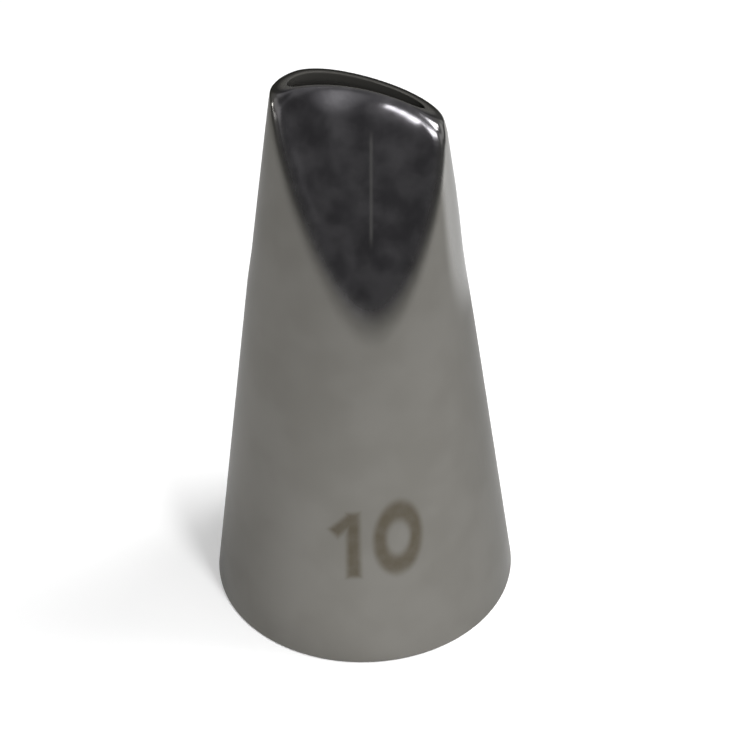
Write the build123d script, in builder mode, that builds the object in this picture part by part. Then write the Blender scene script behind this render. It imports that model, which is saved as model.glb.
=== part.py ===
from build123d import *
from math import atan, cos, degrees, radians, sin, sqrt
import os

# Driving sizes of the round body, in millimetres and degrees
base_diameter = 18.0
form_diameter = 9.1
form_height = 34.0
wall = 0.45

# The front dent, pressed in by a round punch that leans back and a little sideways
dent_length = 10.1
dent_flatness = 2.2
dent_shift = 0.4
dent_tilt = 3.2
tip_thickness = 1.7

# The back, drawn towards the dent along this much of the tip
back_length = 13.3
back_draw = 1.12
back_clearance = 0.05

# The narrow side, flattened by a die with a waist
side_azimuth = 68.5
side_waist_drop = 6.0
side_depth = 0.175
side_flatness = 1.7
side_waist_radius = 150.0

# The back on the narrow side, flattened by a straight die
corner_azimuth = 163.0
corner_length = 11.9
corner_depth = 1.6
corner_flatness = 1.9

# The lip, ground flat on a slope that is lowest on the narrow side, and polished round in front
lip_drop = 0.96
lip_slope = 14.0
lip_radius = 0.7

# The base rim, with its two edges broken
rim_radius = 0.12

# How far the round cone runs on below the presses, and dies run past what they cut
press_clearance = 0.3
overrun = 2.0

# Turns the seam lines of the cones to the front, where the dent crosses them squarely
seam_turn = 270.0

# The round cone that the tip is pressed from
base_radius = base_diameter / 2
form_radius = form_diameter / 2
cone_slope = (base_radius - form_radius) / form_height
cone_angle = degrees(atan(cone_slope))


def cone_radius(height):
    return base_radius - cone_slope * height


def die_plane(azimuth, height, lean):
    # Square to a die's long axis, with its origin on the cone and its y axis facing inwards
    outward = Vector(sin(radians(azimuth)), -cos(radians(azimuth)), 0)
    up = Vector(0, 0, 1)
    touch = outward * cone_radius(height) + up * height
    along = up * cos(radians(lean)) - outward * sin(radians(lean))
    return Plane(origin=touch, x_dir=up.cross(outward), z_dir=along)


# The cone stays round below the lowest press
side_reach = side_waist_drop + sqrt(2 * side_waist_radius * side_depth)
press_length = max(back_length, side_reach, corner_length, dent_length) + press_clearance
press_height = form_height - press_length
press_radius = cone_radius(press_height)

# The punch's crest runs from the cone to one tip thickness in front of the drawn back
dent_height = form_height - dent_length
dent_reach = form_radius - back_draw - tip_thickness
dent_lean = degrees(atan((cone_radius(dent_height) + dent_reach) / dent_length))
dent_radius = form_radius + dent_flatness
dent_plane = die_plane(0, dent_height, dent_lean).rotated((0, dent_tilt, 0))

# The back follows a cone that leans forward
back_height = form_height - back_length
drawn_tilt = degrees(atan(back_draw / back_length))
drawn_plane = Plane(origin=(0, 0, back_height)).rotated((drawn_tilt, 0, 0))

side_radius = press_radius + side_flatness
side_plane = die_plane(side_azimuth, form_height - side_waist_drop, cone_angle)
side_centre = side_plane.origin + side_plane.y_dir * (side_depth + side_radius)
side_profile = Plane(side_centre, x_dir=side_plane.y_dir, z_dir=side_plane.x_dir)
side_axis = Axis(side_centre, side_plane.z_dir)

corner_lean = cone_angle + degrees(atan(corner_depth / corner_length))
corner_radius = press_radius + corner_flatness
corner_plane = die_plane(corner_azimuth, form_height - corner_length, corner_lean)


def back_die(inset):
    # A block behind the tip, hollowed by the leaning cone that the back is drawn to
    cone_inset = inset / cos(radians(cone_angle))
    low = back_height - press_length
    top = form_height + 2 * overrun
    with BuildPart() as die:
        with Locations((0, -back_draw / 2, press_height)):
            Box(
                2 * base_diameter,
                base_diameter,
                press_length + overrun,
                align=(Align.CENTER, Align.MIN, Align.MIN),
            )
        with Locations(drawn_plane.offset(low - back_height)):
            Cone(
                cone_radius(low) + back_clearance - cone_inset,
                cone_radius(top) + back_clearance - cone_inset,
                top - low,
                rotation=(0, 0, seam_turn),
                align=(Align.CENTER, Align.CENTER, Align.MIN),
                mode=Mode.SUBTRACT,
            )
    return die.part


def pressed_form(inset, bottom):
    # The closed form of one side of the sheet, drawn in by the inset on every face
    cone_inset = inset / cos(radians(cone_angle))
    top = form_height + overrun
    with BuildPart() as form:
        # The round cone above the lowest press
        with Locations((0, 0, press_height)):
            Cone(
                press_radius - cone_inset,
                cone_radius(top) - cone_inset,
                top - press_height,
                rotation=(0, 0, seam_turn),
                align=(Align.CENTER, Align.CENTER, Align.MIN),
            )
        # The back, drawn forward
        add(back_die(inset), mode=Mode.SUBTRACT)
        # The flattened narrow side
        with BuildSketch(side_profile):
            Rectangle(side_radius + overrun, 2 * back_length, align=(Align.MIN, Align.CENTER))
            with Locations((side_radius + side_waist_radius, 0)):
                Circle(side_waist_radius + inset, mode=Mode.SUBTRACT)
        revolve(axis=side_axis, mode=Mode.INTERSECT)
        # The flattened back on the narrow side
        with BuildSketch(corner_plane):
            with Locations((0, corner_radius)):
                Circle(corner_radius - inset)
        extrude(amount=form_height, both=True, mode=Mode.INTERSECT)
        # The front dent
        with BuildSketch(dent_plane):
            with Locations((dent_shift, -dent_radius)):
                Circle(dent_radius + inset)
        extrude(amount=form_height, both=True, mode=Mode.SUBTRACT)
        # The round cone below the presses
        with Locations((0, 0, bottom)):
            Cone(
                cone_radius(bottom) - cone_inset,
                press_radius - cone_inset,
                press_height - bottom,
                rotation=(0, 0, seam_turn),
                align=(Align.CENTER, Align.CENTER, Align.MIN),
            )
    return form.part


outer_form = pressed_form(inset=0, bottom=0)
inner_form = pressed_form(inset=wall, bottom=-overrun)
lip_plane = Plane(
    origin=(0, 0, form_height - lip_drop),
    z_dir=(sin(radians(lip_slope)), 0, cos(radians(lip_slope))),
)

with BuildPart() as nozzle_shell:
    add(outer_form)
    add(inner_form, mode=Mode.SUBTRACT)
    # The lip is ground off flat and its long front edge is polished round
    split(bisect_by=lip_plane, keep=Keep.BOTTOM)
    lip_face = nozzle_shell.faces().sort_by(Axis(lip_plane.origin, lip_plane.z_dir))[-1]
    fillet(lip_face.outer_wire().edges().sort_by(SortBy.LENGTH)[-1], radius=lip_radius)
    # The base rim's edges are broken
    fillet(nozzle_shell.edges().group_by(Axis.Z)[0], radius=rim_radius)

os.makedirs("parts", exist_ok=True)
nozzle_shell.part.label = "nozzle_shell"
export_step(nozzle_shell.part, "parts/nozzle_shell.step")
print("volume", round(nozzle_shell.part.volume, 2), "solids", len(nozzle_shell.part.solids()))
print("valid", nozzle_shell.part.is_valid, "lean", round(dent_lean, 2))
print(nozzle_shell.part.bounding_box())
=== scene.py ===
from math import atan, cos, degrees, radians, sin

import bpy
import numpy as np
from mathutils import Matrix, Vector


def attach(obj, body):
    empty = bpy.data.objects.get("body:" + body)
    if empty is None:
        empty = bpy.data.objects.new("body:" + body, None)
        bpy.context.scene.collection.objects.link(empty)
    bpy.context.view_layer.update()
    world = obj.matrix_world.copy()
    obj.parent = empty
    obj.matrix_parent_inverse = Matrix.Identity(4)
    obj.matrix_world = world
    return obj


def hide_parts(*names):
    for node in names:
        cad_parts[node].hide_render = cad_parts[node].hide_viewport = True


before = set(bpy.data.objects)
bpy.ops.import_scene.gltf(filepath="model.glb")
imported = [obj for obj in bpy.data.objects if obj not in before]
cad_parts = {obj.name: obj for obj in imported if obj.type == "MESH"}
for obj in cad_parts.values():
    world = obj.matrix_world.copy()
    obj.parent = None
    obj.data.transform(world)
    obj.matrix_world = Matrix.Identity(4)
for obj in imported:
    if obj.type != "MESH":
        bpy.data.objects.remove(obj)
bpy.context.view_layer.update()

# Lengths are in metres and angles in degrees
mm = 0.001

# The round cone and its sheet
base_radius = 9.0 * mm
form_radius = 4.55 * mm
form_height = 34.0 * mm
wall = 0.45 * mm

# The front dent, from a round punch that leans back, drifts sideways and tapers downwards
dent_start = 23.0 * mm
dent_shift = 0.42 * mm
dent_drift = 0.056
dent_lean = 35.6
dent_radius = 6.75 * mm
dent_taper = 0.4
dent_least_radius = 2.0 * mm

# The back, drawn forward
back_length = 13.3 * mm
back_draw = 1.12 * mm
back_clearance = 0.05 * mm

# The heights below which the drawn back and the dies let go of the cone, and how fast
back_release_height = 24.0 * mm
back_release = 0.03 / mm
side_release_height = 18.0 * mm
side_release = 1.0 / mm

# The flattened narrow side
side_azimuth = 79.0
side_height = 28.0 * mm
side_depth = 0.08 * mm
side_radius = 6.6 * mm
side_waist_radius = 350.0 * mm

# The narrow side swells where the tip is squeezed, between these heights
swell_azimuth = 84.0
swell = 0.2 * mm
swell_sharpness = 7
swell_start, swell_full = 21.0 * mm, 28.0 * mm
swell_fade, swell_end = 31.0 * mm, 32.6 * mm

# The flattened back on the narrow side
corner_azimuth = 163.0
corner_length = 11.9 * mm
corner_depth = 1.6 * mm
corner_radius = 8.19 * mm

# The lip plane, lowest on the narrow side
lip_height = 33.04 * mm
lip_slope = 14.0

# How softly the pressed faces run into each other
back_blend = 0.3 * mm
side_blend = 0.1 * mm
corner_blend = 0.5 * mm
dent_blend = 0.9 * mm

# Rounded edges: how far they go in, and how far down the rolled front of the lip goes
front_lip_round = 0.34 * mm
front_lip_drop = 1.1 * mm
back_lip_round = 0.12 * mm
inner_lip_round = 0.07 * mm
rim_round = 0.17 * mm

# From nothing to all of the lip's rolled front and of the dent's finish, by the dent's lead
front_fade = (-0.7 * mm, 0.9 * mm)
dented_fade = (-0.4 * mm, 0.7 * mm)

# The same for the flattened side, by how far its die stays outside the cone
flattened_fade = (0.02 * mm, -0.04 * mm)

# The same for the two sides of the sheet, by the depth in it, and for the lip, by the way down
outside_fade = (wall, 0.5 * wall)
inside_fade = (0.5 * wall, 0.95 * wall)
lip_fade = (1.0 * mm, 0.3 * mm)

# The mesh: its columns, its rings on the round cone and above it, and where rings start to tilt
columns = 480
low_rings = 10
low_crowding = 0.8
high_rings = 112
tilt_start = 18.0 * mm

# Rays that find the sheet start on a line that grows to this half length towards the tip
spread_start, spread_end, spread = 21.0 * mm, 31.0 * mm, 2.9 * mm
spine_points = 25
probe_points = 241
ray_step = 0.3 * mm
ray_steps = 32
ray_halvings = 22

cone_slope = (base_radius - form_radius) / form_height
cone_angle = degrees(atan(cone_slope))
middle_of_form = Vector((0, 0, 0.5 * form_height))


def cone_radius(z):
    return base_radius - cone_slope * z


def lip_at(x):
    return lip_height - np.tan(radians(lip_slope)) * x


def smooth_min(a, b, blend):
    h = np.maximum(blend - np.abs(a - b), 0) / blend
    return np.minimum(a, b) - h * h * blend / 4


def smooth_step(low, high, value):
    t = np.clip((value - low) / (high - low), 0, 1)
    return t * t * (3 - 2 * t)


def die_axes(azimuth, height, lean):
    # Where a die touches the cone, with the directions along it, across it and inwards
    outward = np.array([sin(radians(azimuth)), -cos(radians(azimuth)), 0])
    up = np.array([0, 0, 1])
    touch = outward * cone_radius(height) + up * height
    along = up * cos(radians(lean)) - outward * sin(radians(lean))
    across = np.cross(up, outward)
    return touch, along, across, np.cross(along, across)


def die_coordinates(axes, x, y, z):
    touch, along, across, inward = axes
    point = (x - touch[0], y - touch[1], z - touch[2])
    return [sum(p * a for p, a in zip(point, axis)) for axis in (along, across, inward)]


side_axes = die_axes(side_azimuth, side_height, cone_angle)
corner_lean = cone_angle + degrees(atan(corner_depth / corner_length))
corner_axes = die_axes(corner_azimuth, form_height - corner_length, corner_lean)


def swell_at(x, y, z):
    # The swell is highest at its azimuth and fades out round the tip, below it and above it
    towards = x * sin(radians(swell_azimuth)) - y * cos(radians(swell_azimuth))
    share = np.maximum(towards / np.maximum(np.hypot(x, y), 1e-6), 0) ** swell_sharpness
    below = smooth_step(swell_start, swell_full, z)
    above = smooth_step(swell_end, swell_fade, z)
    return swell * share * below * above


def body_depths(x, y, z):
    # How deep a point lies under the round, drawn and flattened faces, and how far the side
    # die stays outside the cone there
    swollen = swell_at(x, y, z)
    radius = cone_radius(z) + swollen
    cone = (radius - np.hypot(x, y)) * cos(radians(cone_angle))
    drawn = back_draw * np.maximum(z - (form_height - back_length), 0) / back_length
    back = (radius + back_clearance - np.hypot(x, y + drawn)) * cos(radians(cone_angle))
    along, across, inward = die_coordinates(side_axes, x, y, z)
    inward = inward + swollen
    waist = side_radius + side_waist_radius
    side = np.hypot(np.hypot(inward - side_depth - side_radius, across) - waist, along)
    side = side - side_waist_radius
    along, across, inward = die_coordinates(corner_axes, x, y, z)
    corner = corner_radius - np.hypot(inward - corner_radius, across)
    # Lower down the dies and the drawn back let go of the cone
    let_go = side_release * np.maximum(side_release_height - z, 0) ** 2
    drawn_go = back_release * np.maximum(back_release_height - z, 0) ** 2
    body = smooth_min(cone, back + let_go + drawn_go, back_blend)
    body = smooth_min(body, side + let_go, side_blend)
    return smooth_min(body, corner + let_go, corner_blend), side + let_go - cone


def body_depth(x, y, z):
    return body_depths(x, y, z)[0]


def dent_depth(x, y, z):
    # How far a point lies behind the punch
    lean = radians(dent_lean)
    behind = (y + cone_radius(dent_start)) * cos(lean) - (z - dent_start) * sin(lean)
    sideways = x - dent_shift - dent_drift * (z - dent_start)
    radius = np.maximum(dent_radius + dent_taper * (z - lip_height), dent_least_radius)
    return np.hypot(sideways, behind + radius) - radius


def dent_lead(x, y, z):
    # How much deeper the dent cuts than the other faces
    return body_depth(x, y, z) - dent_depth(x, y, z)


def depth(x, y, z):
    return smooth_min(body_depth(x, y, z), dent_depth(x, y, z), dent_blend)


turn = np.arange(columns) * 2 * np.pi / columns


def tilted(x, level_height):
    # Rings are level on the round cone and tilt towards the lip above it
    share = smooth_step(tilt_start, lip_height, level_height)
    return level_height + (lip_at(x) - lip_height) * share


def ring(under, level_height):
    # Points that lie one depth under the surface, found along rays from the middle of the form
    reach = spread * float(smooth_step(spread_start, spread_end, np.mean(level_height)))
    start_x = reach * np.cos(turn)
    spine_x = np.linspace(-reach, reach, spine_points) if reach else np.zeros(1)
    across_y = np.linspace(-base_radius, base_radius, probe_points)
    grid_x, grid_y = np.meshgrid(spine_x, across_y, indexing="ij")
    inside = np.maximum(depth(grid_x, grid_y, tilted(grid_x, np.mean(level_height))) - wall, 0)
    spine_y = (inside * grid_y).sum(1) / inside.sum(1)
    start_y = np.interp(start_x, spine_x, spine_y)

    def along_ray(length):
        x = start_x + length * np.cos(turn)
        y = start_y + length * np.sin(turn)
        return x, y, tilted(x, level_height)

    # The first step of a ray that ends outside, then halved until it meets the surface
    near = np.zeros(columns)
    found = np.zeros(columns, bool)
    for count in range(1, ray_steps + 1):
        out = depth(*along_ray(count * ray_step)) < under
        near = np.where(out & ~found, (count - 1) * ray_step, near)
        found |= out
    if not found.all():
        raise ValueError("a ray from the middle of the form doesn't meet the sheet")
    far = near + ray_step
    for _ in range(ray_halvings):
        middle = (near + far) / 2
        out = depth(*along_ray(middle)) < under
        near, far = np.where(out, near, middle), np.where(out, middle, far)
    return np.stack(along_ray((near + far) / 2), axis=1)


def flat_ring(under, height):
    return ring(under, np.full(columns, height))


def edge_rounding():
    # The lip is rounded much more along the dent than along the back
    x, y, z = flat_ring(0, lip_height).T
    front = smooth_step(*front_fade, dent_lead(x, y, z))
    inwards = back_lip_round + (front_lip_round - back_lip_round) * front
    return inwards, back_lip_round + (front_lip_drop - back_lip_round) * front


def shell_rings():
    # Up the outside, over the lip, down the inside and round the base rim
    edge_turns = np.radians([30, 60, 90])
    lip_turns = np.radians(np.arange(7.5, 91, 7.5))
    lip_round, lip_drop = edge_rounding()
    low = np.linspace(0, 1, low_rings, endpoint=False) ** low_crowding * tilt_start
    high = np.linspace(tilt_start, lip_height, high_rings, endpoint=False)
    levels = np.concatenate([low, high, [lip_height]])
    rings = []
    top = lip_height - lip_drop
    for level in levels:
        rings.append(ring(0, rim_round + (top - rim_round) * (level / lip_height)))
    for angle in lip_turns:
        height = lip_height - lip_drop * (1 - sin(angle))
        rings.append(ring(lip_round * (1 - cos(angle)), height))
    flat_end = wall - inner_lip_round
    for share in (1 / 3, 2 / 3, 1):
        rings.append(flat_ring(lip_round + (flat_end - lip_round) * share, lip_height))
    for angle in edge_turns:
        under = flat_end + inner_lip_round * sin(angle)
        rings.append(flat_ring(under, lip_height - inner_lip_round * (1 - cos(angle))))
    top = lip_height - inner_lip_round
    for level in levels[-2::-1]:
        rings.append(flat_ring(wall, rim_round + (top - rim_round) * (level / lip_height)))
    for angle in edge_turns:
        under = wall - rim_round * (1 - cos(angle))
        rings.append(flat_ring(under, rim_round * (1 - sin(angle))))
    for angle in edge_turns[::-1]:
        rings.append(flat_ring(rim_round * (1 - cos(angle)), rim_round * (1 - sin(angle))))
    return np.array(rings)


def make_shell():
    rings = shell_rings()
    index = np.arange(len(rings) * columns).reshape(len(rings), columns)
    above = np.roll(index, -1, axis=0)
    corners = [index, np.roll(index, -1, axis=1), np.roll(above, -1, axis=1), above]
    faces = np.stack(corners, axis=2).reshape(-1, 4)
    mesh = bpy.data.meshes.new("pressed_shell")
    mesh.from_pydata(rings.reshape(-1, 3).tolist(), [], faces.tolist())
    mesh.validate()
    mesh.polygons.foreach_set("use_smooth", np.ones(len(mesh.polygons), bool))
    x, y, z = rings.reshape(-1, 3).T
    under = depth(x, y, z)
    dented = smooth_step(*dented_fade, dent_lead(x, y, z))
    outside = smooth_step(*outside_fade, under)
    flattened = smooth_step(*flattened_fade, body_depths(x, y, z)[1])
    masks = {
        "dented": dented * outside,
        "flattened": flattened * outside * (1 - dented),
        "inside": smooth_step(*inside_fade, under),
        "lip": smooth_step(*lip_fade, lip_at(x) - z),
    }
    for name, values in masks.items():
        layer = mesh.attributes.new(name, "FLOAT", "POINT")
        layer.data.foreach_set("value", values.astype(np.float32))
    shell = bpy.data.objects.new("pressed_shell", mesh)
    bpy.context.scene.collection.objects.link(shell)
    return shell


class Nodes:
    # Short calls for building the node tree of a material or the world

    def __init__(self, owner):
        self.tree = owner.node_tree
        self.tree.nodes.clear()

    def add(self, kind, **settings):
        node = self.tree.nodes.new(kind)
        for name, value in settings.items():
            setattr(node, name, value)
        return node

    def link(self, source, target):
        self.tree.links.new(source, target)

    def fill(self, socket, value):
        if isinstance(value, bpy.types.NodeSocket):
            self.link(value, socket)
        else:
            socket.default_value = value

    def math(self, operation, *values):
        node = self.add("ShaderNodeMath", operation=operation)
        for socket, value in zip(node.inputs, values):
            self.fill(socket, value)
        return node.outputs[0]

    def ramp(self, value, low, high, start=0.0, end=1.0):
        # Runs smoothly from start to end while the value runs from low to high
        node = self.add("ShaderNodeMapRange", interpolation_type="SMOOTHSTEP")
        for socket, number in zip(node.inputs, (value, low, high, start, end)):
            self.fill(socket, number)
        return node.outputs[0]

    def mix(self, share, first, second):
        node = self.add("ShaderNodeMix", data_type="RGBA")
        self.fill(node.inputs["Factor"], share)
        sockets = [socket for socket in node.inputs if socket.type == "RGBA"]
        self.fill(sockets[0], first)
        self.fill(sockets[1], second)
        return [socket for socket in node.outputs if socket.type == "RGBA"][0]

    def noise(self, vector, scale, detail=2.0):
        node = self.add("ShaderNodeTexNoise", noise_dimensions="3D")
        self.fill(node.inputs["Vector"], vector)
        self.fill(node.inputs["Scale"], scale)
        self.fill(node.inputs["Detail"], detail)
        return node.outputs["Fac"]

    def split(self, vector):
        node = self.add("ShaderNodeSeparateXYZ")
        self.link(vector, node.inputs[0])
        return node.outputs


# The plain number on the front
number_height = 8.5 * mm
number_slope = 0.12
digit_height = 4.4 * mm
digit_stroke = 0.75 * mm
one_place = -1.3 * mm
flag_reach, flag_drop = 0.6 * mm, 0.8 * mm
flag_length, flag_lean = 1.5 * mm, -48.0
zero_place = 1.3 * mm
zero_width = 2.9 * mm
mark_softness = 0.24 * mm

# The painted reflection, a bright line in the dent, seen from the front, measured from its
# middle out
reflection_line_place = 0.7 * mm
reflection_line_height = 28.7 * mm
reflection_line_fade, reflection_line_reach = 1.89 * mm, 2.7 * mm
reflection_line_side = 0.16 * mm
reflection_line_drift = 0.093
reflection_line_strength = 0.6

# Colours of the steel, in linear red, green and blue
bare_dark = (0.15, 0.145, 0.132, 1)
bare_pale = (0.163, 0.158, 0.145, 1)
# The flattened facet's lighter colour is painted sheen; its smoother die finish is in the
# roughness
facet_sheen_colour = (0.3, 0.296, 0.285, 1)
punched_dark = (0.14, 0.136, 0.146, 1)
punched_pale = (0.25, 0.243, 0.257, 1)
# Painted reflection: the pale colour of the bright line in the dent
reflection_line_colour = (0.5, 0.49, 0.48, 1)
# Painted shade: the inside of the hollow is coloured much darker than the outside
shaded_inside_colour = (0.065, 0.063, 0.058, 1)
etched_colour = (0.09, 0.077, 0.055, 1)
edge_tint = (0.62, 0.62, 0.62, 1)

# The patterns in the steel: how fine the noise is, and the part of it that they run over
cloud_scale, cloud_range = 260.0, (0.35, 0.65)
blotch_scale, blotch_range = 700.0, (0.3, 0.7)
wear_scale, wear_range = 1500.0, (0.2, 0.8)
wear_least, wear_most = 0.7, 0.9
grain_scale = 9000.0
line_scale, line_range = 12.0, (0.3, 0.7)
lines_around, lines_up = 9.0, 60.0
fine_detail = 3.0

# Roughness along the drawing lines, and what the other finishes add to it
smooth_line, rough_line = 0.36, 0.38
burnished_change, lip_change, planed_change, etched_change = -0.17, -0.05, -0.12, 0.15

# The inside is dulled, so it is less of a metal
inside_metallic_loss = 0.6

# The bump, and the shares of the drawing lines and the grain in it
bump_strength = 0.12
bump_distance = 0.002 * mm
bump_lines, bump_grain = 0.6, 0.4


def number_mask(nodes, position):
    # The digits 1 and 0, drawn on the unrolled cone
    x, y, z = nodes.split(position)
    around = nodes.math("ARCTAN2", x, nodes.math("MULTIPLY", y, -1))
    across = nodes.math("MULTIPLY", around, cone_radius(number_height))
    up = nodes.math("SUBTRACT", z, number_height)
    up = nodes.math("SUBTRACT", up, nodes.math("MULTIPLY", across, number_slope))

    def bar(centre, middle, lean, height):
        # Distance from a straight stroke
        side = nodes.math("SUBTRACT", across, centre)
        rise = nodes.math("SUBTRACT", up, middle)
        run = nodes.math(
            "ADD",
            nodes.math("MULTIPLY", side, cos(lean)),
            nodes.math("MULTIPLY", rise, sin(lean)),
        )
        climb = nodes.math(
            "SUBTRACT",
            nodes.math("MULTIPLY", rise, cos(lean)),
            nodes.math("MULTIPLY", side, sin(lean)),
        )
        wide = nodes.math("SUBTRACT", nodes.math("ABSOLUTE", run), digit_stroke / 2)
        tall = nodes.math("SUBTRACT", nodes.math("ABSOLUTE", climb), height / 2)
        return nodes.math("MAXIMUM", wide, tall)

    def squared_share(value, whole):
        share = nodes.math("ABSOLUTE", nodes.math("DIVIDE", value, whole))
        return nodes.math("POWER", share, 2.0)

    stem = bar(one_place, 0.0, 0.0, digit_height)
    flag_middle = digit_height / 2 - flag_drop
    flag = bar(one_place - flag_reach, flag_middle, radians(flag_lean), flag_length)
    # The zero is a ring along an oval
    side = nodes.math("SUBTRACT", across, zero_place)
    half_width = (zero_width - digit_stroke) / 2
    half_height = (digit_height - digit_stroke) / 2
    squares = nodes.math("ADD", squared_share(side, half_width), squared_share(up, half_height))
    off_oval = nodes.math("SUBTRACT", nodes.math("SQRT", squares), 1.0)
    half_stroke = digit_stroke / 2 / half_width
    zero = nodes.math("SUBTRACT", nodes.math("ABSOLUTE", off_oval), half_stroke)
    zero = nodes.math("MULTIPLY", zero, half_width)
    nearest = nodes.math("MINIMUM", nodes.math("MINIMUM", stem, flag), zero)
    front = nodes.math("LESS_THAN", y, 0.0)
    drawn = nodes.ramp(nearest, -mark_softness, mark_softness, 1.0, 0.0)
    return nodes.math("MULTIPLY", drawn, front)


def reflection_line_mask(nodes, position):
    # A long bright line along the dent's crest: a painted reflection
    x, _, z = nodes.split(position)
    run = nodes.math("SUBTRACT", z, reflection_line_height)
    aside = nodes.math("SUBTRACT", x, nodes.math("MULTIPLY", run, reflection_line_drift))
    aside = nodes.math("ABSOLUTE", nodes.math("SUBTRACT", aside, reflection_line_place))
    away = nodes.math("ABSOLUTE", run)
    along = nodes.ramp(away, reflection_line_fade, reflection_line_reach, 1.0, 0.0)
    across = nodes.ramp(aside, 0.0, reflection_line_side, reflection_line_strength, 0.0)
    return nodes.math("MULTIPLY", across, along)


def steel_material():
    material = bpy.data.materials.new("pressed_steel")
    material.use_nodes = True
    nodes = Nodes(material)
    out = nodes.add("ShaderNodeOutputMaterial")
    shader = nodes.add("ShaderNodeBsdfPrincipled")
    nodes.link(shader.outputs[0], out.inputs["Surface"])
    position = nodes.add("ShaderNodeTexCoord").outputs["Object"]
    x, y, z = nodes.split(position)
    around = nodes.math("ARCTAN2", x, nodes.math("MULTIPLY", y, -1))

    masks = {}
    for name in ("dented", "flattened", "inside", "lip"):
        masks[name] = nodes.add("ShaderNodeAttribute", attribute_name=name).outputs["Fac"]
    burnish = nodes.math("MAXIMUM", masks["dented"], masks["lip"])

    # Fine drawing lines that run up the sheet, and faint cloudy stains
    lines_at = nodes.add("ShaderNodeCombineXYZ")
    nodes.fill(lines_at.inputs[0], nodes.math("MULTIPLY", around, lines_around))
    nodes.fill(lines_at.inputs[1], nodes.math("MULTIPLY", z, lines_up))
    lines = nodes.noise(lines_at.outputs[0], line_scale, fine_detail)
    clouds = nodes.ramp(nodes.noise(position, cloud_scale), *cloud_range)
    blotches = nodes.ramp(nodes.noise(position, blotch_scale, fine_detail), *blotch_range)
    worn = nodes.noise(position, wear_scale, fine_detail)
    wear = nodes.ramp(worn, *wear_range, wear_least, wear_most)
    grain = nodes.noise(position, grain_scale)
    painted_reflection = reflection_line_mask(nodes, position)
    etched = nodes.math("MULTIPLY", number_mask(nodes, position), wear)

    bare = nodes.mix(clouds, bare_dark, bare_pale)
    # Painted sheen: the flattened facet is coloured lighter than the bare steel
    sheened_facet = nodes.mix(masks["flattened"], bare, facet_sheen_colour)
    punched = nodes.mix(blotches, punched_dark, punched_pale)
    # Painted reflection: a pale line is mixed into the dent's colour
    punched = nodes.mix(painted_reflection, punched, reflection_line_colour)
    colour = nodes.mix(masks["dented"], sheened_facet, punched)
    # Painted shade: the inside surface takes the dark colour
    colour = nodes.mix(masks["inside"], colour, shaded_inside_colour)
    colour = nodes.mix(etched, colour, etched_colour)
    nodes.fill(shader.inputs["Base Color"], colour)
    loss = nodes.math("MULTIPLY", masks["inside"], inside_metallic_loss)
    nodes.fill(shader.inputs["Metallic"], nodes.math("SUBTRACT", 1.0, loss))
    shader.inputs["Specular Tint"].default_value = edge_tint

    changes = (
        (burnish, burnished_change),
        (masks["lip"], lip_change),
        (masks["flattened"], planed_change),
        (etched, etched_change),
    )
    rough = nodes.ramp(lines, *line_range, smooth_line, rough_line)
    for mask, change in changes:
        rough = nodes.math("ADD", rough, nodes.math("MULTIPLY", mask, change))
    nodes.fill(shader.inputs["Roughness"], rough)

    bump = nodes.add("ShaderNodeBump")
    lines_part = nodes.math("MULTIPLY", lines, bump_lines)
    grain_part = nodes.math("MULTIPLY", grain, bump_grain)
    nodes.fill(bump.inputs["Height"], nodes.math("ADD", lines_part, grain_part))
    bump.inputs["Strength"].default_value = bump_strength
    bump.inputs["Distance"].default_value = bump_distance
    nodes.link(bump.outputs[0], shader.inputs["Normal"])
    return material


# The floor lies just below the rim and glows a little where it is seen or mirrored
floor_half = 1.5
floor_height = -0.01 * mm
paper_colour = (0.85, 0.85, 0.85, 1)
floor_glow = 0.22


def make_floor():
    mesh = bpy.data.meshes.new("floor")
    signs = ((-1, -1), (1, -1), (1, 1), (-1, 1))
    corners = [(a * floor_half, b * floor_half, floor_height) for a, b in signs]
    mesh.from_pydata(corners, [], [(0, 1, 2, 3)])
    floor = bpy.data.objects.new("floor", mesh)
    bpy.context.scene.collection.objects.link(floor)
    material = bpy.data.materials.new("floor_paper")
    material.use_nodes = True
    nodes = Nodes(material)
    out = nodes.add("ShaderNodeOutputMaterial")
    paper = nodes.add("ShaderNodeBsdfDiffuse")
    paper.inputs["Color"].default_value = paper_colour
    glow = nodes.add("ShaderNodeEmission")
    glow.inputs["Color"].default_value = (1, 1, 1, 1)
    path = nodes.add("ShaderNodeLightPath")
    seen = nodes.math("MAXIMUM", path.outputs["Is Camera Ray"], path.outputs["Is Glossy Ray"])
    seen = nodes.math("MAXIMUM", seen, path.outputs["Is Transmission Ray"])
    nodes.fill(glow.inputs["Strength"], nodes.math("MULTIPLY", seen, floor_glow))
    both = nodes.add("ShaderNodeAddShader")
    nodes.link(paper.outputs[0], both.inputs[0])
    nodes.link(glow.outputs[0], both.inputs[1])
    nodes.link(both.outputs[0], out.inputs["Surface"])
    mesh.materials.append(material)


def heading(azimuth, elevation):
    # Azimuths run from the front towards +X, and elevations from the floor up
    return Vector((
        sin(radians(azimuth)) * cos(radians(elevation)),
        -cos(radians(azimuth)) * cos(radians(elevation)),
        sin(radians(elevation)),
    ))


# The room's glow between two elevations: a pale wall at the horizon and a dim ceiling
wall_low, wall_high, wall_glow = 1.0, 6.0, 0.85
ceiling_low, ceiling_high = 38.0, 75.0
ceiling_dim, ceiling_pale = 0.14, 0.35

# Soft bright patches on the ceiling: azimuth, elevation, radii of the core and of the edge, glow
soft_windows = [(60, 50, 7, 24, 0.45), (112, 40, 6, 20, 0.3)]


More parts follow.
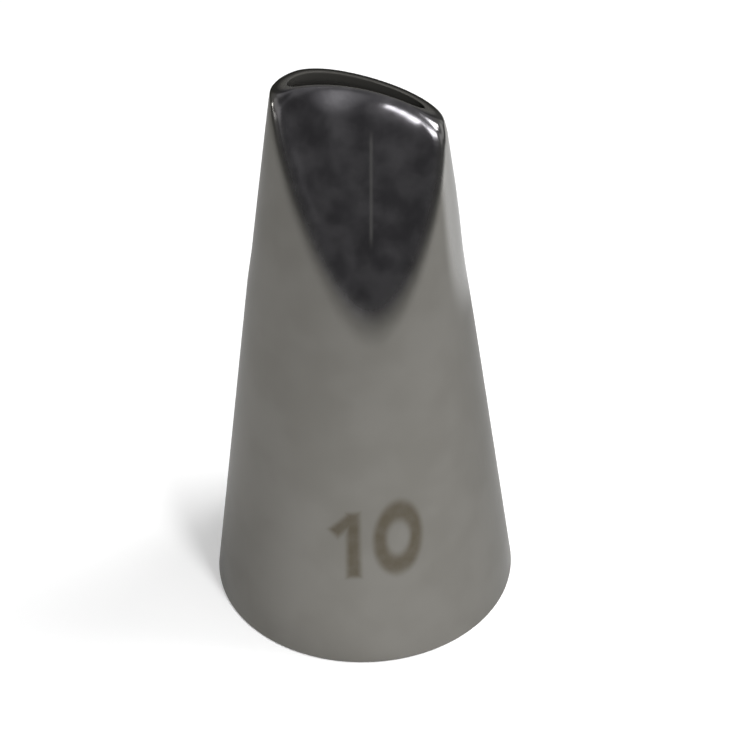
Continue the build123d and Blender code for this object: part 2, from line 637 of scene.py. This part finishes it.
def make_world():
    world = bpy.data.worlds.new("studio")
    world.use_nodes = True
    bpy.context.scene.world = world
    nodes = Nodes(world)
    out = nodes.add("ShaderNodeOutputWorld")
    background = nodes.add("ShaderNodeBackground")
    direction = nodes.add("ShaderNodeTexCoord").outputs["Generated"]
    up = nodes.split(direction)[2]
    strength = nodes.math(
        "ADD",
        nodes.ramp(up, sin(radians(wall_low)), sin(radians(wall_high)), wall_glow, 0.0),
        nodes.ramp(
            up, sin(radians(ceiling_low)), sin(radians(ceiling_high)), ceiling_dim, ceiling_pale
        ),
    )
    for azimuth, elevation, core, edge, glow in soft_windows:
        towards = nodes.add("ShaderNodeVectorMath", operation="DOT_PRODUCT")
        nodes.link(direction, towards.inputs[0])
        towards.inputs[1].default_value = heading(azimuth, elevation)
        nearness = towards.outputs["Value"]
        patch = nodes.ramp(nearness, cos(radians(edge)), cos(radians(core)), 0.0, glow)
        strength = nodes.math("ADD", strength, patch)
    background.inputs["Color"].default_value = (1, 1, 1, 1)
    nodes.fill(background.inputs["Strength"], strength)
    nodes.link(background.outputs[0], out.inputs["Surface"])


def area_light(name, azimuth, elevation, distance, size, power, mirrored=True):
    # A lamp that faces the middle of the form; size is its width and height
    data = bpy.data.lights.new(name, "AREA")
    data.shape = "RECTANGLE"
    data.size, data.size_y = size
    data.energy = power
    light = bpy.data.objects.new(name, data)
    away = heading(azimuth, elevation)
    # The width runs along x as far as the lamp's tilt allows
    across = (Vector((1, 0, 0)) - away * away.x).normalized()
    turned = Matrix((across, away.cross(across), away)).transposed().to_4x4()
    light.matrix_world = Matrix.Translation(middle_of_form + away * distance) @ turned
    light.visible_glossy = mirrored
    bpy.context.scene.collection.objects.link(light)


def make_lights():
    # The key and the fill light the steel but aren't mirrored in it
    area_light("key", 100, 46, distance=0.24, size=(0.14, 0.14), power=0.5, mirrored=False)
    area_light("fill", 20, 80, distance=0.45, size=(0.3, 0.3), power=0.4, mirrored=False)
    # The strip makes the streak on the low end of the lip
    area_light("strip", -32, 61, distance=0.5, size=(0.25, 0.06), power=0.38)
    # A small lamp near the nozzle lifts its front
    area_light("front", 18, 40, distance=0.055, size=(0.01, 0.02), power=0.022, mirrored=False)


def make_camera():
    # Where the photograph was taken from, fitted to the rim and the cone's edges
    azimuth, elevation, distance = -4.8, 37.73, 140.0 * mm
    pan, tilt, roll = 0.143, -0.596, -1.535
    focal_length_pixels, image_pixels = 2442.6, 732
    data = bpy.data.cameras.new("camera")
    data.sensor_width = 36.0
    data.lens = data.sensor_width * focal_length_pixels / image_pixels
    data.clip_start, data.clip_end = 0.01, 10.0
    camera = bpy.data.objects.new("camera", data)
    place = Matrix.Translation(middle_of_form + heading(azimuth, elevation) * distance)
    facing = Matrix.Rotation(radians(azimuth), 4, "Z")
    facing = facing @ Matrix.Rotation(radians(90) - radians(elevation), 4, "X")
    aim = Matrix.Rotation(-radians(pan), 4, "Y") @ Matrix.Rotation(radians(tilt), 4, "X")
    aim = aim @ Matrix.Rotation(radians(roll), 4, "Z")
    camera.matrix_world = place @ facing @ aim
    bpy.context.scene.collection.objects.link(camera)
    bpy.context.scene.camera = camera


bpy.context.scene.view_settings.view_transform = "Standard"
shell = make_shell()
shell.data.materials.append(steel_material())
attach(shell, "root")
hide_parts("nozzle_shell")
make_floor()
make_world()
make_lights()
make_camera()
